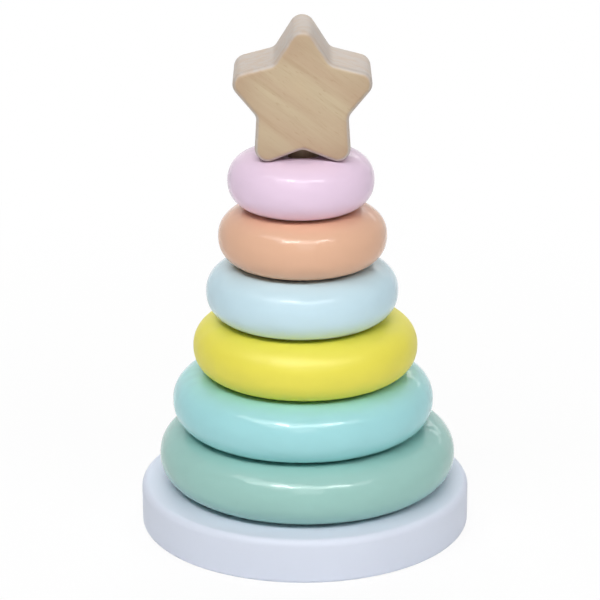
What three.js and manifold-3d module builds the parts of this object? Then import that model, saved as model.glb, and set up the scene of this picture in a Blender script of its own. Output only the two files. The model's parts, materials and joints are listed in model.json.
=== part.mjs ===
// Stacking ring tower: six painted wooden rings on a post, between a painted base disc and a beech star.
// Millimetres, +Z up, the origin at the centre of the base's underside. The star faces -Y.
import * as THREE from "three";
import { mergeVertices } from "three/addons/utils/BufferGeometryUtils.js";
import Module from "manifold-3d";

// Base disc
const BASE_DIAMETER = 110;
const BASE_THICKNESS = 15;
const BASE_RIM_ROUND = 2.4;
const BASE_FOOT_ROUND = 1.6;

// Post: a dowel that is glued and screwed into the base
const POST_DIAMETER = 10;
const POST_ABOVE_RINGS = 17;
const POST_TIP_ROUND = 3;
const POST_END_CHAMFER = 0.6;

// Screw that holds the post from below
const SCREW_HEAD_DIAMETER = 8;
const SCREW_HEAD_HEIGHT = 3;
const SCREW_HEAD_ROUND = 1.2;
const SCREW_HEAD_RECESS = 1.5;
const SCREW_SHANK_DIAMETER = 4;
const SCREW_LENGTH = 18;
const SCREW_POINT = 4;
const SCREW_CROSS_LENGTH = 4.2;
const SCREW_CROSS_WIDTH = 1;
const SCREW_CROSS_DEPTH = 1.6;
const SCREW_WEB = 3.5;

// Rings, from the base up
const RING_HEIGHT = 18.9;
const SAGE_RING_DIAMETER = 99;
const AQUA_RING_DIAMETER = 87;
const YELLOW_RING_DIAMETER = 74.5;
const BLUE_RING_DIAMETER = 63.5;
const PEACH_RING_DIAMETER = 55.5;
const LILAC_RING_DIAMETER = 48;

// A ring's outer face is half a superellipse: how far it reaches in from the rim, and its power
const RING_CROWN = 11;
const RING_CROWN_POWER = 2.2;
const RING_MOUTH_ROUND = 1.5;
const RING_SEAT_LEAST = 1;

// Star: ten straight edges between sharp corners on two circles, and the rounds that soften them
const STAR_POINTS = 5;
const STAR_POINT_RADIUS = 26.75;
const STAR_VALLEY_RADIUS = 15.45;
const STAR_POINT_ROUND = 4.2;
const STAR_VALLEY_ROUND = 3.4;
const STAR_THICKNESS = 27;
const STAR_EDGE_ROUND = 1.8;

// Fits: play is on the radius
const RING_PLAY = 2;
const STAR_PLAY = 0.5;
const POST_GLUE_GAP = 0.15;
const SCREW_HEAD_PLAY = 1;
const SCREW_SHANK_GAP = 0.2;
const HOLE_END_SPARE = 1.5;

// Finishes
const WHITE_PAINT = { color: 0xdde3ec, roughness: 0.45 };
const DOWEL_BEECH = { color: 0xd3b48a, roughness: 0.6 };
const STAR_BEECH = { color: 0xd0b38c, roughness: 0.5 };
const ZINC_STEEL = { color: 0xb9bcc0, roughness: 0.35, metalness: 1 };
const GLOSS_PAINT_ROUGHNESS = 0.18;

// Facets, and how near two corners are when they count as one
const TURNED_SEGMENTS = 48;
const SLIM_SEGMENTS = 24;
const CROWN_STEPS = 10;
const ROUND_STEPS = 3;
const STAR_ARC_STEPS = 3;
const STAR_EDGE_STEPS = 3;
const WELD = 1e-4;

const QUARTER = Math.PI / 2;

// The star and the rings rest a little off the post's axis, by a share of their play, to the right
const STAR_OFF_CENTRE = -0.6;
const RINGS = [
  { name: "ring_1_sage", diameter: SAGE_RING_DIAMETER, offCentre: 0.42, colour: 0x9fcabf },
  { name: "ring_2_aqua", diameter: AQUA_RING_DIAMETER, offCentre: -0.25, colour: 0xa9dfdf },
  { name: "ring_3_yellow", diameter: YELLOW_RING_DIAMETER, offCentre: 0.17, colour: 0xece566 },
  { name: "ring_4_blue", diameter: BLUE_RING_DIAMETER, offCentre: -0.32, colour: 0xcde4ed },
  { name: "ring_5_peach", diameter: PEACH_RING_DIAMETER, offCentre: -0.22, colour: 0xe8bd9d },
  { name: "ring_6_lilac", diameter: LILAC_RING_DIAMETER, offCentre: -0.45, colour: 0xebd6e9 },
];

// Heights that follow from the sizes
const SCREW_SEAT_Z = SCREW_HEAD_RECESS + SCREW_HEAD_HEIGHT;
const SOCKET_FLOOR_Z = SCREW_SEAT_Z + SCREW_WEB;
const SCREW_TIP_Z = SCREW_SEAT_Z + SCREW_LENGTH;
const RINGS_TOP_Z = BASE_THICKNESS + RINGS.length * RING_HEIGHT;
const POST_TIP_Z = RINGS_TOP_Z + POST_ABOVE_RINGS;

const POST_RADIUS = POST_DIAMETER / 2;
const SHANK_HOLE_RADIUS = SCREW_SHANK_DIAMETER / 2 + SCREW_SHANK_GAP;

const wasm = await Module();
wasm.setup();

// A closed geometry as a solid that can be cut.
function solid(geometry) {
  const bare = geometry.clone();
  bare.deleteAttribute("normal");
  bare.deleteAttribute("uv");
  const merged = mergeVertices(bare, WELD);
  const vertProperties = merged.attributes.position.array;
  const triVerts = new Uint32Array(merged.index.array);
  return new wasm.Manifold(new wasm.Mesh({ numProp: 3, vertProperties, triVerts }));
}

// A cut solid as a geometry again.
function geometryOf(cut) {
  const { vertProperties, triVerts } = cut.getMesh();
  const geometry = new THREE.BufferGeometry();
  geometry.setAttribute("position", new THREE.BufferAttribute(vertProperties, 3));
  geometry.setIndex(new THREE.BufferAttribute(triVerts, 1));
  geometry.computeVertexNormals();
  return geometry;
}

// A solid of revolution about Z, from [radius, height] points that run up its outside.
function turned(outline, segments) {
  const points = outline.map(([radius, height]) => new THREE.Vector2(radius, height));
  const geometry = new THREE.LatheGeometry(points, segments);
  geometry.rotateX(QUARTER);
  return geometry;
}

// Points of a round corner, about its centre, from one angle to another.
function roundCorner(centreRadius, centreHeight, round, from, to) {
  const points = [];
  for (let step = 0; step <= ROUND_STEPS; step += 1) {
    const angle = from + ((to - from) * step) / ROUND_STEPS;
    points.push([centreRadius + round * Math.cos(angle), centreHeight + round * Math.sin(angle)]);
  }
  return points;
}

function mesh(name, geometry, finish) {
  const made = new THREE.Mesh(geometry, new THREE.MeshStandardMaterial(finish));
  made.name = name;
  return made;
}

// Disc with the post's socket above, the screw's counterbore below and the web between them.
function baseDisc() {
  const radius = BASE_DIAMETER / 2;
  const socketRadius = POST_RADIUS + POST_GLUE_GAP;
  const counterboreRadius = SCREW_HEAD_DIAMETER / 2 + SCREW_HEAD_PLAY;
  const outline = [
    [counterboreRadius, 0],
    ...roundCorner(radius - BASE_FOOT_ROUND, BASE_FOOT_ROUND, BASE_FOOT_ROUND, -QUARTER, 0),
    ...roundCorner(radius - BASE_RIM_ROUND, BASE_THICKNESS - BASE_RIM_ROUND, BASE_RIM_ROUND, 0, QUARTER),
    [socketRadius, BASE_THICKNESS],
    [socketRadius, SOCKET_FLOOR_Z],
    [SHANK_HOLE_RADIUS, SOCKET_FLOOR_Z],
    [SHANK_HOLE_RADIUS, SCREW_SEAT_Z],
    [counterboreRadius, SCREW_SEAT_Z],
    [counterboreRadius, 0],
  ];
  return mesh("base_disc", turned(outline, TURNED_SEGMENTS), WHITE_PAINT);
}

// Dowel that stands on the socket's floor, with the screw's pilot hole in its lower end.
function post() {
  const pilotEnd = SCREW_TIP_Z + HOLE_END_SPARE;
  const tipRound = Math.min(POST_TIP_ROUND, POST_RADIUS);
  const outline = [
    [0, pilotEnd],
    [SHANK_HOLE_RADIUS, pilotEnd],
    [SHANK_HOLE_RADIUS, SOCKET_FLOOR_Z],
    [POST_RADIUS - POST_END_CHAMFER, SOCKET_FLOOR_Z],
    [POST_RADIUS, SOCKET_FLOOR_Z + POST_END_CHAMFER],
    ...roundCorner(POST_RADIUS - tipRound, POST_TIP_Z - tipRound, tipRound, 0, QUARTER),
    [0, POST_TIP_Z],
  ];
  return mesh("post", turned(outline, SLIM_SEGMENTS), DOWEL_BEECH);
}

// Pan-head screw with a cross in its head, whose head bears on the web.
function postScrew() {
  const headRadius = SCREW_HEAD_DIAMETER / 2;
  const shankRadius = SCREW_SHANK_DIAMETER / 2;
  const outline = [
    [0, SCREW_HEAD_RECESS],
    ...roundCorner(
      headRadius - SCREW_HEAD_ROUND,
      SCREW_HEAD_RECESS + SCREW_HEAD_ROUND,
      SCREW_HEAD_ROUND,
      -QUARTER,
      0,
    ),
    [headRadius, SCREW_SEAT_Z],
    [shankRadius, SCREW_SEAT_Z],
    [shankRadius, SCREW_TIP_Z - SCREW_POINT],
    [0, SCREW_TIP_Z],
  ];
  // The cutter starts as far below the head as it goes in
  const slot = new THREE.BoxGeometry(SCREW_CROSS_LENGTH, SCREW_CROSS_WIDTH, 2 * SCREW_CROSS_DEPTH);
  slot.translate(0, 0, SCREW_HEAD_RECESS);
  const crossing = slot.clone().rotateZ(QUARTER);
  const cross = solid(slot).add(solid(crossing));
  const screw = solid(turned(outline, SLIM_SEGMENTS)).subtract(cross);
  return mesh("post_screw", geometryOf(screw), ZINC_STEEL);
}

// Ring with a full outer crown, flat seats above and below, and a bore with round mouths.
function ring({ name, diameter, colour }) {
  const radius = diameter / 2;
  const boreRadius = POST_RADIUS + RING_PLAY;
  const mouthRadius = boreRadius + RING_MOUTH_ROUND;
  const crown = Math.min(RING_CROWN, radius - mouthRadius - RING_SEAT_LEAST);
  const half = RING_HEIGHT / 2;
  const bulge = (part) => Math.sign(part) * Math.abs(part) ** (2 / RING_CROWN_POWER);
  const outline = [];
  for (let step = 0; step <= CROWN_STEPS; step += 1) {
    const angle = -QUARTER + (Math.PI * step) / CROWN_STEPS;
    outline.push([radius - crown + crown * bulge(Math.cos(angle)), half + half * bulge(Math.sin(angle))]);
  }
  outline.push(
    ...roundCorner(mouthRadius, RING_HEIGHT - RING_MOUTH_ROUND, RING_MOUTH_ROUND, QUARTER, Math.PI),
    ...roundCorner(mouthRadius, RING_MOUTH_ROUND, RING_MOUTH_ROUND, Math.PI, 3 * QUARTER),
    outline[0],
  );
  const finish = { color: colour, roughness: GLOSS_PAINT_ROUGHNESS };
  return mesh(name, turned(outline, TURNED_SEGMENTS), finish);
}

// Half the angle at a point of the star, and half the open angle at a valley
const STAR_STEP = Math.PI / STAR_POINTS;
const STAR_POINT_HALF = Math.atan2(
  STAR_VALLEY_RADIUS * Math.sin(STAR_STEP),
  STAR_POINT_RADIUS - STAR_VALLEY_RADIUS * Math.cos(STAR_STEP),
);
const STAR_VALLEY_HALF = STAR_POINT_HALF + STAR_STEP;

// How far from the star's centre the middles of the rounds lie
const STAR_POINT_MIDDLE = STAR_POINT_RADIUS - STAR_POINT_ROUND / Math.sin(STAR_POINT_HALF);
const STAR_VALLEY_MIDDLE = STAR_VALLEY_RADIUS + STAR_VALLEY_ROUND / Math.sin(STAR_VALLEY_HALF);

// The star stands on its two lower points, and its hole opens in the valley between them
const STAR_CENTRE_Z = RINGS_TOP_Z + STAR_POINT_MIDDLE * Math.cos(STAR_STEP) + STAR_POINT_ROUND;

function starOutline() {
  const shape = new THREE.Shape();
  const pointSweep = QUARTER - STAR_POINT_HALF;
  const valleySweep = QUARTER - STAR_VALLEY_HALF;
  for (let point = 0; point < STAR_POINTS; point += 1) {
    const at = QUARTER + 2 * STAR_STEP * point;
    const pointX = STAR_POINT_MIDDLE * Math.cos(at);
    const pointY = STAR_POINT_MIDDLE * Math.sin(at);
    shape.absarc(pointX, pointY, STAR_POINT_ROUND, at - pointSweep, at + pointSweep, false);
    const next = at + STAR_STEP;
    const inward = next + Math.PI;
    const valleyX = STAR_VALLEY_MIDDLE * Math.cos(next);
    const valleyY = STAR_VALLEY_MIDDLE * Math.sin(next);
    shape.absarc(valleyX, valleyY, STAR_VALLEY_ROUND, inward + valleySweep, inward - valleySweep, true);
  }
  return shape;
}

// Thick star, drawn flat about its centre and stood upright, with the post's blind hole from below.
function starTopper() {
  const body = new THREE.ExtrudeGeometry(starOutline(), {
    depth: STAR_THICKNESS - 2 * STAR_EDGE_ROUND,
    curveSegments: STAR_ARC_STEPS,
    bevelThickness: STAR_EDGE_ROUND,
    bevelSize: STAR_EDGE_ROUND,
    bevelOffset: -STAR_EDGE_ROUND,
    bevelSegments: STAR_EDGE_STEPS,
  });
  body.translate(0, 0, STAR_EDGE_ROUND - STAR_THICKNESS / 2);
  body.rotateX(QUARTER);

  const holeRadius = POST_RADIUS + STAR_PLAY;
  const holeEnd = POST_TIP_Z + HOLE_END_SPARE - STAR_CENTRE_Z;
  const holeStart = -STAR_POINT_RADIUS;
  const holeOutline = [
    [0, holeStart],
    [holeRadius, holeStart],
    [holeRadius, holeEnd],
    [0, holeEnd],
  ];
  const star = solid(body).subtract(solid(turned(holeOutline, SLIM_SEGMENTS)));
  return mesh("star_topper", geometryOf(star), STAR_BEECH);
}

const stand = new THREE.Group();
stand.add(baseDisc(), post(), postScrew());

const stack = new THREE.Group();
stack.position.z = BASE_THICKNESS;
RINGS.forEach((row, level) => {
  const made = ring(row);
  made.position.set(row.offCentre * RING_PLAY, 0, level * RING_HEIGHT);
  stack.add(made);
});

const star = starTopper();
star.position.set(STAR_OFF_CENTRE * STAR_PLAY, 0, STAR_CENTRE_Z);

const tower = new THREE.Group();
tower.add(stand, stack, star);

export default tower;
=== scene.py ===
"""Stacking ring tower: gloss painted rings on a beech post, a white base disc and a beech star.

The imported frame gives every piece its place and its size. This add-on gives each piece its fine mesh and
its finish, and sets a small white studio around the tower.
"""

import json
import math

import bmesh
import bpy
from bpy.props import FloatProperty, FloatVectorProperty, PointerProperty
from mathutils import Euler, Matrix, Vector


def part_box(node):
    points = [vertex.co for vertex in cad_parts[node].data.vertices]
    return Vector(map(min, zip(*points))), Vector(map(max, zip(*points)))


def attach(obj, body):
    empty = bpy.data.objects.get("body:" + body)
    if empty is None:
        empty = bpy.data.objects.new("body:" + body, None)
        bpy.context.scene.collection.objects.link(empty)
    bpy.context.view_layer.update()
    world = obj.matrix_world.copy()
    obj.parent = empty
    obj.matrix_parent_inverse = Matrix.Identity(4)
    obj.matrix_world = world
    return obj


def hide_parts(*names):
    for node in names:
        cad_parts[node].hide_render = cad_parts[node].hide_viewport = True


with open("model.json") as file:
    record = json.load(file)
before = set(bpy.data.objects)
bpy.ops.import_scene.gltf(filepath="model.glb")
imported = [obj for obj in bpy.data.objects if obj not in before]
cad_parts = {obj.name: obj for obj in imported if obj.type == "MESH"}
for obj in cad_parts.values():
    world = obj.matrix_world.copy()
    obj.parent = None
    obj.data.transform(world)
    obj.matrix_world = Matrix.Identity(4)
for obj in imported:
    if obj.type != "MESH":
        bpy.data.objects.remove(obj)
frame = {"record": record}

bl_info = {
    "name": "Stacking Ring Tower",
    "version": (1, 0, 0),
    "blender": (4, 5, 0),
    "location": "View3D > Sidebar > Tower",
    "description": "Builds the pieces, the finishes and the studio of a stacking ring tower",
    "category": "Object",
}

MM = 0.001
QUARTER = math.pi / 2
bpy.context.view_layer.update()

# Which body carries each node, and which finish the record gives it
BODY_OF = {node: body for body, nodes in frame["record"]["behaviour"]["bodies"].items() for node in nodes}
SLOT_OF = {row["node"]: row["material_slot"] for row in frame["record"]["subparts"]}
RING_NODES = sorted(node for node in BODY_OF if node.startswith("ring_"))

# Where in the board's grain the star and the post are cut
GRAIN_START = (0.0, 0.0, 40 * MM)

# Where wear sets in: beyond a ring's bore, above the table and from the star's centre
RUB_START = 0.3 * MM
RUB_END = 2.2 * MM
SCUFF_START = 0.1 * MM
HANDLED_START = 10 * MM
HANDLED_END = 23 * MM

# How strongly light bends into the paint and the varnish, and how strongly the satin paint mirrors
PAINT_IOR = 1.37
VARNISH_IOR = 1.45
SATIN_GLOSS = 0.35

# How finely the meshes are cut
TURNED_SEGMENTS = 144
SLIM_SEGMENTS = 64
CROWN_STEPS = 40
ROUND_STEPS = 8
STAR_POINTS = 5
STAR_ARC_STEPS = 14
STAR_EDGE_STEPS = 8
SHARP_ANGLE = math.radians(40)


def length(name, description, millimetres):
    """A length that the user can change, given in millimetres."""
    return FloatProperty(
        name=name,
        description=description,
        default=millimetres * MM,
        min=0.0,
        precision=5,
        subtype="DISTANCE",
        unit="LENGTH",
    )


def number(name, description, value):
    """A plain number that the user can change."""
    return FloatProperty(name=name, description=description, default=value)


def angle(name, description, degrees):
    """An angle that the user can change, given in degrees."""
    return FloatProperty(
        name=name, description=description, default=math.radians(degrees), subtype="ANGLE", unit="ROTATION"
    )


def linear(red, green, blue):
    """A colour of 0 to 255 display levels as the linear light that shaders work in."""
    levels = [level / 255 for level in (red, green, blue)]
    return tuple(s / 12.92 if s <= 0.04045 else ((s + 0.055) / 1.055) ** 2.4 for s in levels)


def tinted(shade, *factors):
    """A colour times one factor, or times a factor for each of red, green and blue."""
    each = factors if len(factors) == len(shade) else factors * len(shade)
    return [min(1.0, level * factor) for level, factor in zip(shade, each)]


def colour(name, description, red, green, blue):
    """A colour that the user can change, given in display levels."""
    return FloatVectorProperty(
        name=name,
        description=description,
        default=linear(red, green, blue),
        size=3,
        min=0.0,
        max=1.0,
        subtype="COLOR",
    )


class TowerSizes(bpy.types.PropertyGroup):
    """Sizes that the frame's boxes don't give: rounds, bores and the star's outline."""

    ring_bore: length("Ring bore", "Diameter of the hole through a ring", 14)
    ring_crown: length("Ring crown", "How far a ring's curved outer face reaches in from its rim", 11)
    ring_power: number("Ring power", "Power of the superellipse that the crown follows", 2.2)
    ring_mouth: length("Bore mouth round", "Radius of the round at each end of a ring's bore", 1.5)
    base_rim: length("Base rim round", "Radius of the round on the base's upper edge", 2.4)
    base_foot: length("Base foot round", "Radius of the round on the base's lower edge", 1.6)
    socket: length("Post socket", "Diameter of the hole that the post is glued into", 10.3)
    socket_floor: length("Socket floor", "Height of the socket's floor above the table", 8)
    shank_hole: length("Shank hole", "Diameter of the hole that the screw passes through", 4.4)
    counterbore: length("Counterbore", "Diameter of the hole that hides the screw's head", 10)
    screw_seat: length("Screw seat", "Height of the face that the screw's head bears on", 4.5)
    post_tip: length("Post tip round", "Radius of the round on the post's tip", 3)
    post_chamfer: length("Post chamfer", "Chamfer on the post's lower end", 0.6)
    pilot_spare: length("Pilot spare", "Depth of the pilot hole beyond the screw's point", 1.5)
    head_round: length("Screw head round", "Radius of the round on the screw's head", 1.2)
    screw_core: length("Screw core", "Diameter of the screw between its threads", 2.9)
    screw_crest: length("Screw crest", "Diameter of the screw over its threads", 4)
    screw_pitch: length("Screw pitch", "Distance from one thread to the next", 1.8)
    screw_point: length("Screw point", "Length of the screw's tapered point", 4)
    cross_length: length("Cross length", "Length of each slot of the cross in the screw's head", 4.2)
    cross_width: length("Cross width", "Width of each slot of the cross", 1)
    cross_depth: length("Cross depth", "Depth of the cross", 1.6)
    star_point_radius: length("Star point radius", "From the star's centre to a sharp point", 26.75)
    star_valley_radius: length("Star valley radius", "From the star's centre to a sharp valley", 15.45)
    star_point_round: length("Star point round", "Radius of the round on each point", 4.2)
    star_valley_round: length("Star valley round", "Radius of the round in each valley", 3.4)
    star_edge_round: length("Star edge round", "Radius of the round between faces and sides", 1.8)
    star_hole: length("Star hole", "Diameter of the blind hole that the post goes into", 11)
    star_hole_spare: length("Star hole spare", "Depth of the hole beyond the post's tip", 1.5)


class TowerColours(bpy.types.PropertyGroup):
    """Colours of the paints, the wood and the screw."""

    sage_paint: colour("Sage", "Paint of the largest ring", 158, 202, 194)
    aqua_paint: colour("Aqua", "Paint of the second ring", 164, 221, 225)
    yellow_paint: colour("Yellow", "Paint of the third ring", 236, 225, 87)
    blue_paint: colour("Pale blue", "Paint of the fourth ring", 202, 229, 240)
    peach_paint: colour("Peach", "Paint of the fifth ring", 229, 182, 152)
    lilac_paint: colour("Lilac pink", "Paint of the smallest ring", 236, 211, 233)
    white_paint: colour("White", "Paint of the base disc", 221, 227, 241)
    beech_pale: colour("Beech, pale", "Early wood of the star and the post", 202, 186, 154)
    beech_warm: colour("Beech, warm", "Late wood of the star and the post", 189, 162, 134)
    beech_fleck: colour("Beech fleck", "Short dark flecks in the beech", 172, 140, 110)
    beech_side: colour("Beech side", "Sanded sides of the star, across the grain", 190, 180, 171)
    zinc: colour("Zinc", "Plating of the screw", 190, 194, 200)


class StudioSettings(bpy.types.PropertyGroup):
    """Camera, lamps and backdrop."""

    camera_distance: length("Camera distance", "From the camera to the point that it looks at", 842)
    camera_elevation: angle("Camera elevation", "How far the camera looks down", 18.72)
    camera_aim: length("Aim height", "Height of the point that the camera looks at", 77.48)
    camera_side: length("Camera side step", "How far the camera stands left of the tower's axis", 1.38)
    camera_roll: angle("Camera roll", "Lean of the camera about its line of sight", -0.26)
    camera_lens: number("Lens", "Focal length in millimetres, on a sensor 36 mm wide", 152.76)
    world_light: number("Surrounding light", "Strength of the white surroundings as a light", 0.02)
    floor_radius: length("Floor radius", "Radius of the round floor", 6000)
    floor_glow: number("Floor glow", "Share of plain white in the floor at the tower's foot", 0.91)
    glow_start: length("Glow start", "Distance where the floor begins to turn plain white", 120)
    glow_end: length("Glow end", "Distance where the floor is all plain white", 400)


class Value:
    """A node's output in an expression: each operator on it adds a Math node."""

    def __init__(self, board, socket):
        self.board = board
        self.socket = socket

    def _math(self, operation, first, second):
        return self.board.node("ShaderNodeMath", {"operation": operation}, {0: first, 1: second})

    def __add__(self, other):
        return self._math("ADD", self, other)

    def __radd__(self, other):
        return self._math("ADD", other, self)

    def __sub__(self, other):
        return self._math("SUBTRACT", self, other)

    def __rsub__(self, other):
        return self._math("SUBTRACT", other, self)

    def __mul__(self, other):
        return self._math("MULTIPLY", self, other)

    def __abs__(self):
        return self.board.node("ShaderNodeMath", {"operation": "ABSOLUTE"}, {0: self})


class Board:
    """The nodes of one material, or of the world."""

    def __init__(self, tree):
        self.tree = tree
        tree.nodes.clear()

    def node(self, kind, settings=None, inputs=None, output=0):
        """Adds a node with its settings, then the values or links of its sockets. Gives back one output."""
        made = self.tree.nodes.new(kind)
        for name, setting in (settings or {}).items():
            setattr(made, name, setting)
        for key, value in (inputs or {}).items():
            socket = made.inputs[key]
            if isinstance(value, Value):
                self.tree.links.new(value.socket, socket)
            elif socket.type == "RGBA":
                socket.default_value = (*value, 1.0)
            else:
                socket.default_value = value
        return Value(self, made.outputs[output])

    def place(self):
        """The point on the surface, in the piece's own frame, in metres."""
        return self.node("ShaderNodeTexCoord", output="Object")

    def stretch(self, vector, along):
        """A vector times a factor on each axis."""
        return self.node("ShaderNodeVectorMath", {"operation": "MULTIPLY"}, {0: vector, 1: along})

    def distance(self, vector, centre, counted):
        """How far a vector's end is from a centre. counted has a 1 for each axis that counts."""
        offset = self.node("ShaderNodeVectorMath", {"operation": "SUBTRACT"}, {0: vector, 1: centre})
        measured = self.stretch(offset, counted)
        return self.node("ShaderNodeVectorMath", {"operation": "LENGTH"}, {0: measured}, output="Value")

    def part(self, vector, axis):
        """One of a vector's X, Y and Z."""
        return self.node("ShaderNodeSeparateXYZ", {}, {0: vector}, output=axis)

    def noise(self, vector, scale, detail=2.0, roughness=0.5):
        """Smooth noise from 0 to 1."""
        values = {"Vector": vector, "Scale": scale, "Detail": detail, "Roughness": roughness}
        return self.node("ShaderNodeTexNoise", {}, values)

    def step(self, value, low, high):
        """A smooth step from 0 below low to 1 above high."""
        values = {"Value": value, "From Min": low, "From Max": high}
        return self.node("ShaderNodeMapRange", {"interpolation_type": "SMOOTHSTEP"}, values)

    def mix(self, factor, first, second, blend="MIX"):
        """A colour between two colours."""
        settings = {"data_type": "RGBA", "blend_type": blend, "clamp_factor": True}
        return self.node("ShaderNodeMix", settings, {0: factor, 6: first, 7: second}, output=2)

    def bump(self, height, strength, depth):
        """A normal that follows a height of 0 to 1, where 1 stands depth metres proud."""
        return self.node("ShaderNodeBump", {}, {"Strength": strength, "Distance": depth, "Height": height})

    def surface(self, **sockets):
        """Ends the material in one principled shader. Underscores in a socket's name stand for spaces."""
        named = {name.replace("_", " "): value for name, value in sockets.items()}
        shader = self.node("ShaderNodeBsdfPrincipled", {}, named)
        self.node_output("ShaderNodeOutputMaterial", shader)

    def node_output(self, kind, shader):
        """The tree's output, fed by a shader."""
        made = self.tree.nodes.new(kind)
        self.tree.links.new(shader.socket, made.inputs["Surface"])


def new_board(name):
    """A new material and its empty board."""
    material = bpy.data.materials.new(name)
    material.use_nodes = True
    return material, Board(material.node_tree)


def gloss_paint(name, shade, axis, bore_radius, gloss, softness):
    """Gloss paint on turned wood: slightly wavy and cloudy, and rubbed where the post meets the bore.

    gloss is the strength of the reflection, and softness its roughness.
    """
    material, board = new_board(name)
    place = board.place()
    cloud = board.noise(place, 45.0, 3.0)
    waves = board.noise(place, 120.0, 1.0)
    peel = board.noise(place, 700.0, 2.0)
    tone = board.mix(cloud, tinted(shade, 0.975), tinted(shade, 1.02))
    radius = board.distance(place, axis, (1.0, 1.0, 0.0))
    near_bore = 1.0 - board.step(radius, bore_radius + RUB_START, bore_radius + RUB_END)
    rubbed = near_bore * board.step(board.noise(place, 260.0, 4.0), 0.45, 0.7)
    paler = [0.5 * level + 0.4 for level in shade]
    board.surface(
        Base_Color=board.mix(rubbed * 0.6, tone, paler),
        Roughness=softness + cloud * 0.05 + rubbed * 0.3,
        Normal=board.bump(waves + peel * 0.012, 0.9, 0.5 * MM),
        IOR=PAINT_IOR,
        Specular_IOR_Level=gloss,
    )
    return material


def satin_paint(name, shade, foot_height):
    """Satin white paint: faint cloudiness, a fine roller texture, and scuffs on the foot."""
    material, board = new_board(name)
    place = board.place()
    cloud = board.noise(place, 35.0, 3.0)
    roller = board.noise(place, 1100.0, 3.0)
    scratch = board.noise(board.stretch(place, (90.0, 1400.0, 1400.0)), 1.0, 3.0)
    low = 1.0 - board.step(board.part(place, "Z"), SCUFF_START, foot_height)
    scuff = low * board.step(scratch, 0.55, 0.75)
    tone = board.mix(cloud, tinted(shade, 0.97), tinted(shade, 1.02))
    board.surface(
        Base_Color=board.mix(scuff * 0.5, tone, tinted(shade, 0.72)),
        Roughness=0.42 + cloud * 0.1 + scuff * 0.2,
        Normal=board.bump(roller, 0.06, 0.1 * MM),
        IOR=PAINT_IOR,
        Specular_IOR_Level=SATIN_GLOSS,
    )
    return material


def beech(name, colours, grain_turn, star_centre):
    """Sanded beech under thin satin varnish: bands, streaks, pores and short dark flecks along the grain.

    grain_turn turns the grain away from X, about Y. The star gives its centre: its faces along Y show the
    grain, its sides are paler, and its tips are darker from handling. The dowel gives None.
    """
    material, board = new_board(name)
    place = board.place()
    turned_place = board.node(
        "ShaderNodeVectorRotate", {"rotation_type": "Y_AXIS"}, {"Vector": place, "Angle": grain_turn}
    )
    along = board.node("ShaderNodeVectorMath", {"operation": "ADD"}, {0: turned_place, 1: GRAIN_START})
    bands = board.noise(board.stretch(along, (9.0, 120.0, 120.0)), 1.0, 3.0, 0.6)
    streaks = board.noise(board.stretch(along, (34.0, 460.0, 460.0)), 1.0, 3.0, 0.6)
    pores = board.noise(board.stretch(along, (260.0, 3200.0, 3200.0)), 1.0, 2.0)
    flecks = board.noise(board.stretch(along, (330.0, 1500.0, 1500.0)), 1.0, 1.0)
    blotch = board.noise(place, 70.0, 2.0)
    fleck_mask = board.step(flecks, 0.64, 0.74)
    pore_mask = board.step(pores, 0.58, 0.7)
    wood = board.mix(board.step(bands, 0.3, 0.7), colours.beech_pale, colours.beech_warm)
    rosy = tinted(colours.beech_pale, 1.0, 0.93, 0.9)
    wood = board.mix(board.step(blotch, 0.5, 0.75) * 0.45, wood, rosy)
    wood = board.mix(board.step(streaks, 0.48, 0.72) * 0.4, wood, colours.beech_fleck)
    wood = board.mix(pore_mask * 0.14, wood, colours.beech_fleck)
    wood = board.mix(fleck_mask * 0.32, wood, colours.beech_fleck)
    if star_centre is not None:
        reach = board.distance(place, star_centre, (1.0, 0.0, 1.0))
        handled = tinted(colours.beech_warm, 0.86, 0.83, 0.81)
        wood = board.mix(board.step(reach, HANDLED_START, HANDLED_END) * 0.7, wood, handled)
        facing = board.node("ShaderNodeTexCoord", output="Normal")
        side = 1.0 - board.step(abs(board.part(facing, "Y")), 0.72, 0.99)
        lines = board.step(streaks, 0.42, 0.62) * 0.42 + pore_mask * 0.15
        wood = board.mix(side, wood, board.mix(lines, colours.beech_side, colours.beech_warm))
    board.surface(
        Base_Color=wood,
        Roughness=0.48 + pore_mask * 0.12 + bands * 0.06,
        Normal=board.bump(1.0 - pore_mask * 0.6 - fleck_mask * 0.4, 0.12, 0.06 * MM),
        IOR=VARNISH_IOR,
    )
    return material


def zinc_plate(name, shade):
    """Bright zinc on steel: soft spangle and fine turning marks."""
    material, board = new_board(name)
    place = board.place()
    spangle = board.noise(place, 900.0, 2.0)
    marks = board.noise(board.stretch(place, (300.0, 300.0, 6000.0)), 1.0, 2.0)
    board.surface(
        Base_Color=board.mix(spangle, tinted(shade, 0.86), shade),
        Metallic=1.0,
        Roughness=0.26 + spangle * 0.16,
        Normal=board.bump(marks, 0.1, 0.04 * MM),
    )
    return material


def arc(middle, radius, start, end, steps):
    """Points on a circle about middle, from one angle to another."""
    points = []
    for step in range(steps + 1):
        turn = start + (end - start) * step / steps
        points.append((middle[0] + radius * math.cos(turn), middle[1] + radius * math.sin(turn)))
    return points


def new_piece(name, vertices, faces, material):
    """A mesh object of its own, smooth but for its sharp edges."""
    mesh = bpy.data.meshes.new(name)
    mesh.from_pydata(vertices, [], faces)
    mesh.materials.append(material)
    smooth(mesh)
    piece = bpy.data.objects.new(name, mesh)
    bpy.context.scene.collection.objects.link(piece)
    return piece


def smooth(mesh):
    """Faces the mesh outwards and shades it smooth between its sharp edges."""
    shell = bmesh.new()
    shell.from_mesh(mesh)
    bmesh.ops.recalc_face_normals(shell, faces=shell.faces)
    shell.to_mesh(mesh)
    shell.free()
    mesh.shade_smooth()
    mesh.set_sharp_from_angle(angle=SHARP_ANGLE)


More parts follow.
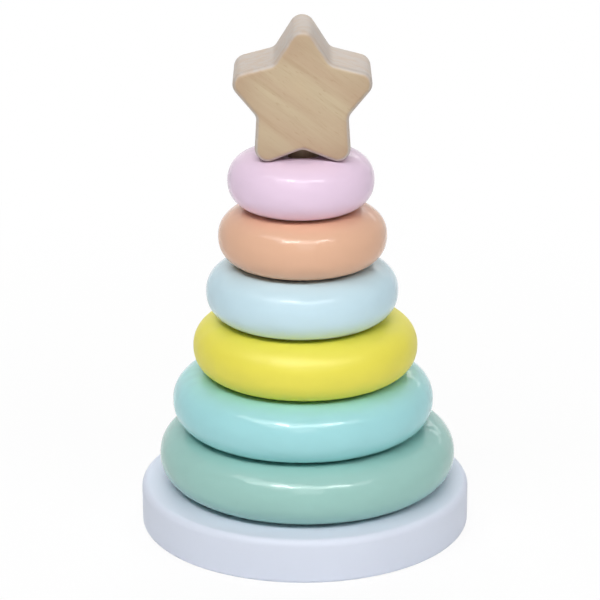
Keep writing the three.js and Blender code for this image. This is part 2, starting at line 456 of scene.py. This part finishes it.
def turn_rows(rows, joins_up):
    """Faces between rows of vertices that go round an axis. A row of one vertex is a point on the axis."""
    pairs = list(zip(rows, rows[1:]))
    if joins_up:
        pairs.append((rows[-1], rows[0]))
    faces = []
    for lower, upper in pairs:
        count = max(len(lower), len(upper))
        for here in range(count):
            there = (here + 1) % count
            if len(lower) == 1:
                faces.append((lower[0], upper[there], upper[here]))
            elif len(upper) == 1:
                faces.append((lower[here], lower[there], upper[0]))
            else:
                faces.append((lower[here], lower[there], upper[there], upper[here]))
    return faces


def turned(name, outline, middle, segments, material, joins_up=False):
    """A piece turned about an upright axis, from (radius, height) points that run up its outside."""
    vertices = []
    rows = []
    for radius, height in outline:
        count = segments if radius > 0 else 1
        rows.append(range(len(vertices), len(vertices) + count))
        for step in range(count):
            turn = 2 * math.pi * step / segments
            across = Vector((math.cos(turn), math.sin(turn), 0.0)) * radius
            vertices.append(Vector((middle[0], middle[1], height)) + across)
    return new_piece(name, vertices, turn_rows(rows, joins_up), material)


def cut(piece, cutter):
    """Takes the cutter's shape out of a piece and removes the cutter."""
    modifier = piece.modifiers.new("cut", "BOOLEAN")
    modifier.operation = "DIFFERENCE"
    modifier.solver = "EXACT"
    modifier.object = cutter
    shown = piece.evaluated_get(bpy.context.evaluated_depsgraph_get())
    uncut = piece.data
    done = bpy.data.meshes.new_from_object(shown)
    piece.modifiers.clear()
    piece.data = done
    bpy.data.objects.remove(cutter)
    bpy.data.meshes.remove(uncut)
    done.name = piece.name
    smooth(done)


def settle(piece, node):
    """The piece stands for its CAD node: it rides on the node's body, and the node is hidden."""
    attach(piece, BODY_OF[node])
    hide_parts(node)


def middle_of(node):
    """The upright axis of a turned node, and its radius and lowest and highest point."""
    low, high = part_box(node)
    axis = ((low.x + high.x) / 2, (low.y + high.y) / 2)
    return axis, (high.x - low.x) / 2, low.z, high.z


class TOWER_OT_base(bpy.types.Operator):
    """Turn the base disc, with the post's socket above and the screw's counterbore below"""

    bl_idname = "tower.base"
    bl_label = "Base disc"

    def execute(self, context):
        sizes = context.scene.tower_sizes
        axis, radius, bottom, top = middle_of("base_disc")
        foot = (radius - sizes.base_foot, bottom + sizes.base_foot)
        rim = (radius - sizes.base_rim, top - sizes.base_rim)
        outline = [
            (sizes.counterbore / 2, bottom),
            *arc(foot, sizes.base_foot, -QUARTER, 0.0, ROUND_STEPS),
            *arc(rim, sizes.base_rim, 0.0, QUARTER, ROUND_STEPS),
            (sizes.socket / 2, top),
            (sizes.socket / 2, sizes.socket_floor),
            (sizes.shank_hole / 2, sizes.socket_floor),
            (sizes.shank_hole / 2, sizes.screw_seat),
            (sizes.counterbore / 2, sizes.screw_seat),
        ]
        paint = satin_paint("satin_white", context.scene.tower_colours.white_paint, sizes.base_foot)
        piece = turned("painted_base", outline, axis, TURNED_SEGMENTS, paint, joins_up=True)
        settle(piece, "base_disc")
        return {"FINISHED"}


class TOWER_OT_post(bpy.types.Operator):
    """Turn the dowel that the rings are threaded on, with the screw's pilot hole in its lower end"""

    bl_idname = "tower.post"
    bl_label = "Post"

    def execute(self, context):
        sizes = context.scene.tower_sizes
        axis, radius, bottom, top = middle_of("post")
        pilot_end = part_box("post_screw")[1].z + sizes.pilot_spare
        tip = (radius - sizes.post_tip, top - sizes.post_tip)
        outline = [
            (0.0, pilot_end),
            (sizes.shank_hole / 2, pilot_end),
            (sizes.shank_hole / 2, bottom),
            (radius - sizes.post_chamfer, bottom),
            (radius, bottom + sizes.post_chamfer),
            *arc(tip, sizes.post_tip, 0.0, QUARTER, ROUND_STEPS),
            (0.0, top),
        ]
        wood = beech("beech_dowel", context.scene.tower_colours, QUARTER, None)
        settle(turned("beech_post", outline, axis, SLIM_SEGMENTS, wood), "post")
        return {"FINISHED"}


class TOWER_OT_screw(bpy.types.Operator):
    """Make the threaded screw that holds the post, with a cross in its head"""

    bl_idname = "tower.screw"
    bl_label = "Post screw"

    rows_per_pitch = 10
    cross_arms = 4
    # How steeply the thread's ridge falls away from its crest
    ridge_slope = 2.2

    def execute(self, context):
        sizes = context.scene.tower_sizes
        axis, head_radius, bottom, top = middle_of("post_screw")
        zinc = zinc_plate("zinc_plate", context.scene.tower_colours.zinc)
        brim = (head_radius - sizes.head_round, bottom + sizes.head_round)
        outline = [
            (0.0, bottom),
            *arc(brim, sizes.head_round, -QUARTER, 0.0, ROUND_STEPS),
            (head_radius, sizes.screw_seat),
        ]
        vertices = []
        rows = []
        for radius, height in outline:
            self.add_row(vertices, rows, axis, height, lambda turn: radius)
        step = sizes.screw_pitch / self.rows_per_pitch
        count = int((top - sizes.screw_seat) / step)
        for row in range(count):
            height = sizes.screw_seat + row * step
            self.add_row(vertices, rows, axis, height, lambda turn: self.thread(sizes, top, height, turn))
        self.add_row(vertices, rows, axis, top, lambda turn: 0.0)
        screw = new_piece("zinc_screw", vertices, turn_rows(rows, False), zinc)
        cut(screw, self.cross(sizes, axis, bottom, zinc))
        settle(screw, "post_screw")
        return {"FINISHED"}

    def add_row(self, vertices, rows, axis, height, radius_at):
        """One row of vertices round the axis, or a single one where the radius is nothing."""
        first = len(vertices)
        for step in range(SLIM_SEGMENTS):
            turn = 2 * math.pi * step / SLIM_SEGMENTS
            radius = radius_at(turn)
            vertices.append((axis[0] + radius * math.cos(turn), axis[1] + radius * math.sin(turn), height))
            if radius == 0.0:
                break
        rows.append(range(first, len(vertices)))

    def thread(self, sizes, top, height, turn):
        """Radius of the shank at a height and turn: a core with a helical ridge, drawn in at the point."""
        turns = (height - sizes.screw_seat) / sizes.screw_pitch - turn / (2 * math.pi)
        off_crest = abs(turns % 1.0 - 0.5) * 2
        ridge = max(0.0, 1.0 - self.ridge_slope * off_crest)
        started = min(1.0, (height - sizes.screw_seat) / sizes.screw_pitch)
        taper = min(1.0, (top - height) / sizes.screw_point)
        core = sizes.screw_core / 2
        return taper * (core + started * ridge * (sizes.screw_crest / 2 - core))

    def cross(self, sizes, axis, bottom, material):
        """A plus-shaped prism that cuts the cross into the head."""
        reach = sizes.cross_length / 2
        half = sizes.cross_width / 2
        arm = [(reach, -half), (reach, half), (half, half)]
        outline = []
        for _ in range(self.cross_arms):
            outline += arm
            arm = [(-y, x) for x, y in arm]
        count = len(outline)
        levels = (bottom - sizes.cross_depth, bottom + sizes.cross_depth)
        corners = [(axis[0] + x, axis[1] + y, level) for level in levels for x, y in outline]
        after = [(corner + 1) % count for corner in range(count)]
        sides = [(i, after[i], after[i] + count, i + count) for i in range(count)]
        ends = [tuple(reversed(range(count))), tuple(range(count, 2 * count))]
        return new_piece("cross_cutter", corners, sides + ends, material)


class TOWER_OT_rings(bpy.types.Operator):
    """Turn the painted rings, each with a full crown, flat seats and a bore with round mouths"""

    bl_idname = "tower.rings"
    bl_label = "Rings"

    # Gloss and softness of each paint
    finishes = {
        "sage_paint": (0.4, 0.06),
        "aqua_paint": (0.42, 0.06),
        "yellow_paint": (0.42, 0.4),
        "blue_paint": (0.2, 0.08),
        "peach_paint": (0.3, 0.07),
        "lilac_paint": (0.24, 0.08),
    }

    def execute(self, context):
        sizes = context.scene.tower_sizes
        for node in RING_NODES:
            axis, radius, bottom, top = middle_of(node)
            shade = getattr(context.scene.tower_colours, SLOT_OF[node])
            finish = self.finishes[SLOT_OF[node]]
            paint = gloss_paint(SLOT_OF[node], shade, (*axis, 0.0), sizes.ring_bore / 2, *finish)
            outline = self.outline(sizes, radius, bottom, top)
            piece = turned("painted_" + node, outline, axis, TURNED_SEGMENTS, paint, joins_up=True)
            settle(piece, node)
        return {"FINISHED"}

    def outline(self, sizes, radius, bottom, top):
        """The ring's section: half a superellipse outside, then the seats and the bore's round mouths."""
        half = (top - bottom) / 2
        crown = sizes.ring_crown
        points = []
        for step in range(CROWN_STEPS + 1):
            turn = -QUARTER + math.pi * step / CROWN_STEPS
            out = self.bulge(math.cos(turn), sizes.ring_power)
            up = self.bulge(math.sin(turn), sizes.ring_power)
            points.append((radius - crown + crown * out, bottom + half + half * up))
        mouth = sizes.ring_mouth
        middle = sizes.ring_bore / 2 + mouth
        points += arc((middle, top - mouth), mouth, QUARTER, math.pi, ROUND_STEPS)
        points += arc((middle, bottom + mouth), mouth, math.pi, 3 * QUARTER, ROUND_STEPS)
        return points

    def bulge(self, part, power):
        """A sine or cosine raised so that the curve becomes a superellipse."""
        return math.copysign(abs(part) ** (2 / power), part)


class TOWER_OT_star(bpy.types.Operator):
    """Shape the beech star with soft edges, and drill the post's hole into its lower valley"""

    bl_idname = "tower.star"
    bl_label = "Star topper"

    grain_turn = math.radians(-37)
    # Width of the row of faces beside the edge round, which keeps the flat faces' shading flat
    face_margin = 1.5 * MM
    # How far below the star the hole's cutter starts
    hole_lead = 8 * MM

    def execute(self, context):
        sizes = context.scene.tower_sizes
        low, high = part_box("star_topper")
        middle_x = (low.x + high.x) / 2
        half = (high.y - low.y) / 2
        rim, foot = self.rim(sizes)
        centre = Vector((middle_x, (low.y + high.y) / 2, low.z + foot))
        edge = sizes.star_edge_round
        corner = [(edge - y, half - edge + x) for x, y in arc((0.0, 0.0), edge, QUARTER, 0.0, ROUND_STEPS)]
        near = [(edge + self.face_margin, -half), *((inset, -depth) for inset, depth in reversed(corner))]
        far = [*corner, (edge + self.face_margin, half)]
        vertices = []
        rows = []
        for inset, depth in [*near, *far]:
            rows.append(range(len(vertices), len(vertices) + len(rim)))
            for point, outward in rim:
                flat = point - outward * inset
                vertices.append(centre + Vector((flat.x, depth, flat.y)))
        faces = turn_rows(rows, False) + [tuple(rows[0]), tuple(rows[-1])]
        wood = beech("beech_star", context.scene.tower_colours, self.grain_turn, centre)
        star = new_piece("beech_star", vertices, faces, wood)
        hole_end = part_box("post")[1].z + sizes.star_hole_spare
        hole_start = low.z - self.hole_lead
        hole_radius = sizes.star_hole / 2
        outline = [(0.0, hole_start), (hole_radius, hole_start), (hole_radius, hole_end), (0.0, hole_end)]
        cut(star, turned("hole_cutter", outline, (centre.x, centre.y), SLIM_SEGMENTS, wood))
        settle(star, "star_topper")
        return {"FINISHED"}

    def rim(self, sizes):
        """The star's outline about its centre, as points with outward directions, and its foot's depth."""
        step = math.pi / STAR_POINTS
        point_radius = sizes.star_point_radius
        valley_radius = sizes.star_valley_radius
        point_half = math.atan2(
            valley_radius * math.sin(step), point_radius - valley_radius * math.cos(step)
        )
        valley_half = point_half + step
        point_middle = point_radius - sizes.star_point_round / math.sin(point_half)
        valley_middle = valley_radius + sizes.star_valley_round / math.sin(valley_half)
        rim = []
        for point in range(STAR_POINTS):
            at = QUARTER + 2 * step * point
            sweep = QUARTER - point_half
            self.add_arc(rim, at, point_middle, sizes.star_point_round, at - sweep, at + sweep, 1)
            at += step
            sweep = valley_half - QUARTER
            start, end = at + math.pi - sweep, at + math.pi + sweep
            self.add_arc(rim, at, valley_middle, sizes.star_valley_round, start, end, -1)
        self.add_straight(rim, rim[0])
        foot = point_middle * math.cos(step) + sizes.star_point_round
        return rim, foot

    def add_arc(self, rim, at, reach, radius, start, end, outward_sign):
        """Adds a straight edge up to a round corner, and then the round."""
        middle = Vector((math.cos(at), math.sin(at))) * reach
        corner = []
        for x, y in arc((0.0, 0.0), radius, start, end, STAR_ARC_STEPS):
            spoke = Vector((x, y))
            corner.append((middle + spoke, spoke.normalized() * outward_sign))
        if rim:
            self.add_straight(rim, corner[0])
        rim += corner

    def add_straight(self, rim, target):
        """Adds the points between the rim's end and the target."""
        start, outward = rim[-1]
        for step in range(1, STAR_EDGE_STEPS):
            rim.append((start.lerp(target[0], step / STAR_EDGE_STEPS), outward))


class TOWER_OT_stage(bpy.types.Operator):
    """Set the white floor, the surroundings, the lamps and the camera"""

    bl_idname = "tower.stage"
    bl_label = "Studio"

    floor_segments = 96
    sensor_width = 36.0
    white = (1.0, 1.0, 1.0)

    # Panels that the gloss paint mirrors: azimuth and elevation of both ends in degrees, breadth in metres
    # and watts. The cores are narrow and bright, and give the streaks on the rings their crisp middles.
    panels = (
        ("panel_far_left", (-92, 54), (-60, 61), 0.6, 8.1),
        ("panel_left", (-60, 61), (-40, 59), 1.0, 12.0),
        ("panel_near_left", (-40, 59), (-14, 53), 1.5, 21.0),
        ("core_left", (-42, 59), (-13, 55), 0.36, 21.0),
        ("panel_middle", (-14, 43), (14, 44), 2.0, 22.5),
        ("core_middle", (-13, 53), (24, 53), 0.48, 11.0),
        ("panel_right", (14, 54), (46, 56), 1.2, 12.0),
        ("core_right", (24, 54), (50, 56), 0.36, 13.5),
        ("panel_far_right", (46, 55), (64, 50), 0.7, 5.4),
        ("panel_back", (145, 18), (172, 18), 0.12, 0.8),
    )
    panel_distance = 2.7

    # Soft lamps that light the tower: azimuth and elevation in degrees, distance, width and height in
    # metres, and watts. They stand far enough away to light lifted rings as they light the stack.
    lamps = (
        ("front", 0, 49, 4.2, 2.1, 0.75, 73.5),
        ("front_low", 0, 12, 4.8, 3.6, 1.8, 7.2),
        ("left", -45, 52, 3.6, 1.8, 0.75, 38.5),
        ("right", 45, 40, 3.6, 1.8, 0.75, 28.0),
        ("back_high", 180, 45, 4.2, 3.6, 1.8, 58.0),
        ("back_low", 180, 15, 4.8, 3.6, 1.8, 72.0),
    )

    def execute(self, context):
        studio = context.scene.tower_studio
        context.scene.view_settings.view_transform = "Standard"
        self.surroundings(context.scene, studio)
        self.floor(studio)
        for panel in self.panels:
            self.panel(studio, *panel)
        for lamp in self.lamps:
            self.soft_lamp(studio, *lamp)
        self.camera(context.scene, studio)
        return {"FINISHED"}

    def seen_directly(self, board):
        """1 for rays from the camera and for those mirrored or passed through, and 0 for light."""
        rays = [
            board.node("ShaderNodeLightPath", output=name)
            for name in ("Is Camera Ray", "Is Glossy Ray", "Is Transmission Ray")
        ]
        return rays[0] + rays[1] + rays[2]

    def surroundings(self, scene, studio):
        world = bpy.data.worlds.new("white_surroundings")
        world.use_nodes = True
        scene.world = world
        board = Board(world.node_tree)
        light, white = [
            board.node("ShaderNodeBackground", {}, {"Color": self.white, "Strength": strength})
            for strength in (studio.world_light, 1.0)
        ]
        both = board.node("ShaderNodeMixShader", {}, {0: self.seen_directly(board), 1: light, 2: white})
        board.node_output("ShaderNodeOutputWorld", both)

    def floor(self, studio):
        material, board = new_board("white_floor")
        cloud = board.noise(board.place(), 6.0)
        white = board.mix(cloud, tinted(self.white, 0.92), tinted(self.white, 0.95))
        paper = board.node("ShaderNodeBsdfDiffuse", {}, {"Color": white})
        glow = board.node("ShaderNodeEmission", {}, {"Color": self.white, "Strength": 1.0})
        away = board.distance(board.place(), (0.0, 0.0, 0.0), (1.0, 1.0, 0.0))
        far = board.step(away, studio.glow_start, studio.glow_end)
        share = self.seen_directly(board) * (studio.floor_glow + far * (1.0 - studio.floor_glow))
        both = board.node("ShaderNodeMixShader", {}, {0: share, 1: paper, 2: glow})
        board.node_output("ShaderNodeOutputMaterial", both)
        edge = arc((0.0, 0.0), studio.floor_radius, 0.0, 2 * math.pi, self.floor_segments)[:-1]
        vertices = [(x, y, 0.0) for x, y in edge]
        piece = new_piece("studio_floor", vertices, [tuple(range(len(vertices)))], material)

    def away(self, azimuth, elevation):
        """The direction from the tower to an azimuth, where 0 is the camera's side, and an elevation."""
        across, up = math.radians(azimuth), math.radians(elevation)
        return Vector((math.sin(across) * math.cos(up), -math.cos(across) * math.cos(up), math.sin(up)))

    def panel(self, studio, name, start, end, breadth, watts):
        """A bright panel between two directions from the tower, which only gloss shows."""
        aim = Vector((0.0, 0.0, studio.camera_aim))
        ends = [aim + self.away(*way) * self.panel_distance for way in (start, end)]
        place = (ends[0] + ends[1]) / 2
        along = ends[1] - ends[0]
        panel = self.lamp(name, place, along, place - aim, along.length, breadth, watts)
        panel.visible_diffuse = False

    def soft_lamp(self, studio, name, azimuth, elevation, distance, width, height, watts):
        """A large soft lamp that faces the tower and that no surface mirrors."""
        aim = Vector((0.0, 0.0, studio.camera_aim))
        outward = self.away(azimuth, elevation)
        level = outward.cross(Vector((0.0, 0.0, 1.0)))
        lamp = self.lamp(name, aim + outward * distance, level, outward, width, height, watts)
        lamp.visible_glossy = False

    def lamp(self, name, place, along, outward, width, height, watts):
        """A rectangular lamp at a place, with its width along one direction and its back to another."""
        light = bpy.data.lights.new(name, "AREA")
        light.shape = "RECTANGLE"
        light.size = width
        light.size_y = height
        light.energy = watts
        lamp = bpy.data.objects.new(name, light)
        bpy.context.scene.collection.objects.link(lamp)
        back = outward.normalized()
        side = (along - back * along.dot(back)).normalized()
        axes = Matrix((side, back.cross(side), back)).transposed()
        lamp.matrix_world = Matrix.Translation(place) @ axes.to_4x4()
        return lamp

    def camera(self, scene, studio):
        """The camera in front of the tower, where the lens sees it as a viewer at a table does."""
        data = bpy.data.cameras.new("front_camera")
        data.lens = studio.camera_lens
        data.sensor_width = self.sensor_width
        camera = bpy.data.objects.new("front_camera", data)
        scene.collection.objects.link(camera)
        facing = Euler((QUARTER - studio.camera_elevation, 0.0, 0.0)).to_matrix()
        aim = Vector((-studio.camera_side, 0.0, studio.camera_aim))
        place = aim + facing @ Vector((0.0, 0.0, studio.camera_distance))
        leaning = facing @ Matrix.Rotation(studio.camera_roll, 3, "Z")
        camera.matrix_world = Matrix.Translation(place) @ leaning.to_4x4()
        scene.camera = camera


OPERATORS = (
    TOWER_OT_base,
    TOWER_OT_post,
    TOWER_OT_screw,
    TOWER_OT_rings,
    TOWER_OT_star,
    TOWER_OT_stage,
)


class TOWER_PT_panel(bpy.types.Panel):
    """Lists the tower's pieces, sizes and colours"""

    bl_idname = "TOWER_PT_panel"
    bl_label = "Stacking Ring Tower"
    bl_space_type = "VIEW_3D"
    bl_region_type = "UI"
    bl_category = "Tower"

    def draw(self, context):
        for operator in OPERATORS:
            self.layout.operator(operator.bl_idname)
        for group in (context.scene.tower_sizes, context.scene.tower_colours, context.scene.tower_studio):
            box = self.layout.box()
            for name in group.__annotations__:
                box.prop(group, name)


CLASSES = (TowerSizes, TowerColours, StudioSettings, *OPERATORS, TOWER_PT_panel)


def register():
    for made in CLASSES:
        bpy.utils.register_class(made)
    bpy.types.Scene.tower_sizes = PointerProperty(type=TowerSizes)
    bpy.types.Scene.tower_colours = PointerProperty(type=TowerColours)
    bpy.types.Scene.tower_studio = PointerProperty(type=StudioSettings)


def unregister():
    del bpy.types.Scene.tower_studio
    del bpy.types.Scene.tower_colours
    del bpy.types.Scene.tower_sizes
    for made in reversed(CLASSES):
        bpy.utils.unregister_class(made)


def main():
    register()
    bpy.ops.tower.base()
    bpy.ops.tower.post()
    bpy.ops.tower.screw()
    bpy.ops.tower.rings()
    bpy.ops.tower.star()
    bpy.ops.tower.stage()


if __name__ == "__main__":
    main()
